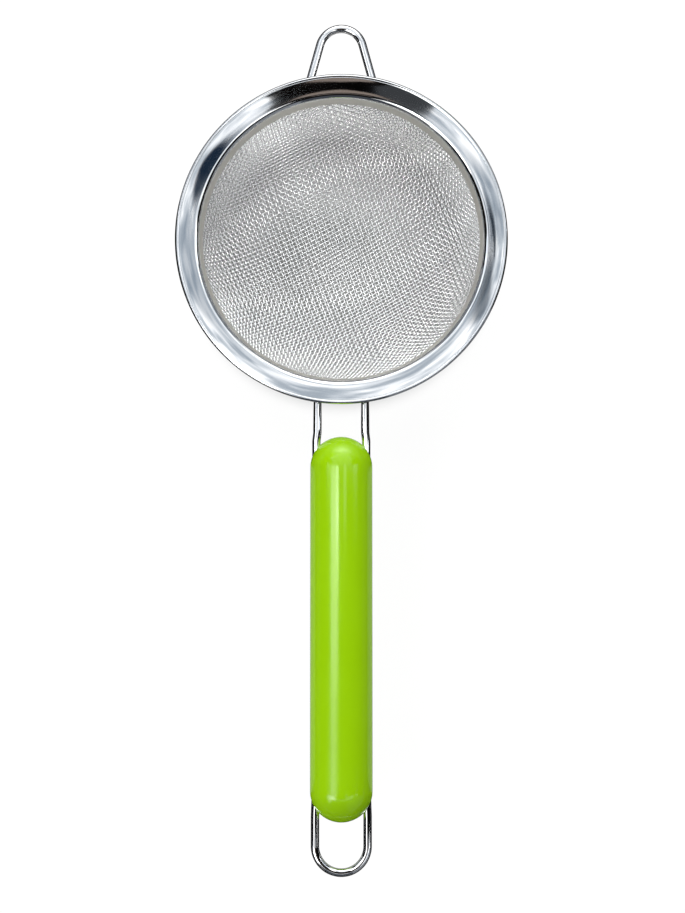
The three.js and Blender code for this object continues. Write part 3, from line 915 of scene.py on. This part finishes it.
def capsuleProfile(radius):
    # Distance along Y and radius, from the rear pole to the front pole
    steps = gripShell["domeSteps"]
    rear = hairpin["gripRear"] + gripShell["radius"]
    front = hairpin["gripFront"] - gripShell["radius"]
    profile = []
    for i in range(steps + 1):
        angle = pi / 2 * i / steps
        profile.append((rear - radius * cos(angle), radius * sin(angle)))
    for i in range(1, gripShell["barSteps"]):
        profile.append((rear + (front - rear) * i / gripShell["barSteps"], radius))
    for i in range(steps + 1):
        angle = pi / 2 * i / steps
        profile.append((front + radius * sin(angle), radius * cos(angle)))
    return profile


def gripHalf(name, side):
    g = gripShell
    level = rimTop - bentWire["drop"]
    mesh = bmesh.new()

    def shell(radius):
        rows = []
        for y, r in capsuleProfile(radius):
            row = []
            for k in range(g["around"] + 1):
                angle = pi * k / g["around"]
                x = r * cos(angle)
                z = max(r * sin(angle), g["seamGap"] / 2)
                row.append(mesh.verts.new((x, y, level + side * z)))
            rows.append(row)
        return rows

    outer = shell(g["radius"])
    inner = shell(g["radius"] - g["wall"])
    for rows, flip in ((outer, side < 0), (inner, side > 0)):
        for a, b in zip(rows, rows[1:]):
            for k in range(g["around"]):
                quad = (a[k], a[k + 1], b[k + 1], b[k])
                mesh.faces.new(quad if flip else quad[::-1])
    for k in (0, -1):
        for i in range(len(outer) - 1):
            quad = (outer[i][k], outer[i + 1][k], inner[i + 1][k], inner[i][k])
            mesh.faces.new(quad)
    bmesh.ops.remove_doubles(mesh, verts=mesh.verts, dist=1e-4)
    bmesh.ops.dissolve_degenerate(mesh, edges=mesh.edges, dist=1e-4)
    bmesh.ops.recalc_face_normals(mesh, faces=mesh.faces)
    data = bpy.data.meshes.new(name)
    bmesh.ops.scale(mesh, vec=(mm, mm, mm), verts=mesh.verts)
    mesh.to_mesh(data)
    mesh.free()
    data.materials.append(limePlastic)
    data.shade_smooth()
    data.set_sharp_from_angle(angle=radians(40))
    piece = bpy.data.objects.new(name, data)
    scene.collection.objects.link(piece)
    return piece


for gripName, node, side in (
    ("grip_half_upper", "grip_upper_shell", 1),
    ("grip_half_lower", "grip_lower_shell", -1),
):
    dress(gripHalf(gripName, side), "lime_plastic", node)
print("grip ready")


# Woven cloth: two sets of wires that cross over and under on the bowl's sphere


def weaveNet():
    # Each mesh of the net is a rhombus on the sphere: the next crossing is its opposite corner,
    # half a turn about the middle of the two crossings beside it
    c = bowlCloth
    span = radians(c["edgeAngle"] + 6)      # a little past the bowl's edge
    steps = {"warp": c["weftPitch"], "weft": c["warpPitch"]}      # distance walked along each run
    angle = abs(radians(c["warpRun"] - c["weftRun"]))
    walk = {name: step / sin(angle) / bowlRadius for name, step in steps.items()}
    count = {name: int(span / turn) + 2 for name, turn in walk.items()}
    m, n = count["warp"], count["weft"]
    net = np.full((2 * m + 1, 2 * n + 1, 3), np.nan)

    def onCircle(run, turn):
        heading = radians(run)
        return np.array([sin(turn) * cos(heading), sin(turn) * sin(heading), -cos(turn)])

    for i in range(-m, m + 1):
        net[m + i, n] = onCircle(c["warpRun"], walk["warp"] * i)
    for j in range(-n, n + 1):
        net[m, n + j] = onCircle(c["weftRun"], walk["weft"] * j)
    for a in (-1, 1):
        for b in (-1, 1):
            for i in range(1, m + 1):
                for j in range(1, n + 1):
                    corner = net[m + a * (i - 1), n + b * (j - 1)]
                    middle = net[m + a * i, n + b * (j - 1)] + net[m + a * (i - 1), n + b * j]
                    middle = middle / np.linalg.norm(middle)
                    net[m + a * i, n + b * j] = 2 * np.dot(middle, corner) * middle - corner
    return net


net = weaveNet()
print("net of", net.shape[0], "by", net.shape[1], "crossings")


def wovenSet(names, wires, signs):
    # One set of wires: each wave is a wire radius high and turns over at every crossing
    c = bowlCloth
    radius = c["wireDiameter"] / 2
    footLevel = 2.05 * radius       # the flat foot, where the lowest waves just clear the table
    steps, sides = c["steps"], c["sides"]
    middle = np.array([0.0, 0.0, rimTop + bowlCentre])
    around = np.linspace(0, 2 * pi, sides, endpoint=False)
    split = len(wires) // 2
    for name, part, offset in ((names[0], wires[:split], 0), (names[1], wires[split:], split)):
        points, faces, uv = [], [], []
        base = 0
        for number, (wire, sign) in enumerate(zip(part, signs[offset:])):
            share = np.arange(0, len(wire) - 1 + 1e-9, 1 / steps)
            index = np.minimum(share.astype(int), len(wire) - 2)
            between = (share - index)[:, None]
            outward = wire[index] * (1 - between) + wire[index + 1] * between
            outward /= np.linalg.norm(outward, axis=1)[:, None]
            inside = np.degrees(np.arccos(-outward[:, 2])) < c["edgeAngle"]
            if inside.sum() < 2 * steps:
                continue
            outward, share = outward[inside], share[inside]
            wave = sign * radius * np.cos(pi * share)
            centre = middle + outward * bowlRadius
            centre[:, 2] = np.maximum(centre[:, 2], footLevel)
            centre += outward * wave[:, None]
            along = np.gradient(centre, axis=0)
            along /= np.linalg.norm(along, axis=1)[:, None]
            across = np.cross(along, outward)
            across /= np.linalg.norm(across, axis=1)[:, None]
            upright = np.cross(along, across)
            ring = (centre[:, None] + radius * (np.cos(around)[None, :, None] * across[:, None]
                                                + np.sin(around)[None, :, None] * upright[:, None]))
            points.append(ring.reshape(-1, 3))
            count = len(centre)
            i, k = np.meshgrid(np.arange(count - 1), np.arange(sides), indexing="ij")
            j = (k + 1) % sides
            here, there = i * sides, (i + 1) * sides
            quads = np.stack([here + k, here + j, there + j, there + k], axis=-1)
            faces += (base + quads.reshape(-1, 4)).tolist()
            final = base + (count - 1) * sides
            # Both ends are closed
            faces += [list(range(base, base + sides))[::-1], list(range(final, final + sides))]
            # Bake map: a strip for each wire, with a tenth left clear between strips
            low = (number + 0.9 * k / sides) / len(part)
            high = (number + 0.9 * (k + 1) / sides) / len(part)
            u0, u1 = i / count, (i + 1) / count
            strip = [np.stack(pair, -1) for pair in ((u0, low), (u0, high), (u1, high), (u1, low))]
            uv.append(np.stack(strip, axis=-2).reshape(-1, 2))
            inStrip = (number + 0.45) / len(part)
            uv.append([(end, inStrip) for end in (0, 1 - 1 / count) for k in range(sides)])
            base += count * sides
        piece = makePiece(name, np.concatenate(points), faces, clothSteel, 80,
                          {"name": "OFBake", "values": np.concatenate(uv)})
        dress(piece, "wire_cloth", "mesh_bowl")
        print(name, len(piece.data.polygons))


def clothWires():
    rows, columns = net.shape[:2]
    fromAxis = np.degrees(np.arccos(np.clip(-net[..., 2], -1, 1)))
    near = fromAxis < bowlCloth["edgeAngle"] + 3
    # Warp wires close up in pairs, as the loom leaves them
    shifted = net.copy()
    for j in range(1, columns - 1):
        toward = 1 if j % 2 else -1
        shifted[:, j] = net[:, j] + bowlCloth["pairing"] * (net[:, j + toward] - net[:, j])
    warp, warpSigns, weft, weftSigns = [], [], [], []
    for j in range(columns):
        index = np.flatnonzero(near[:, j])
        if len(index) > 4:
            warp.append(shifted[index[0]:index[-1] + 1, j])
            warpSigns.append(1 if (j + index[0]) % 2 else -1)
    for i in range(rows):
        index = np.flatnonzero(near[i])
        if len(index) > 4:
            weft.append(shifted[i, index[0]:index[-1] + 1])
            weftSigns.append(-1 if (i + index[0]) % 2 else 1)
    wovenSet(("warp_wires_a", "warp_wires_b"), warp, warpSigns)
    wovenSet(("weft_wires_a", "weft_wires_b"), weft, weftSigns)


clothWires()
print("cloth ready")
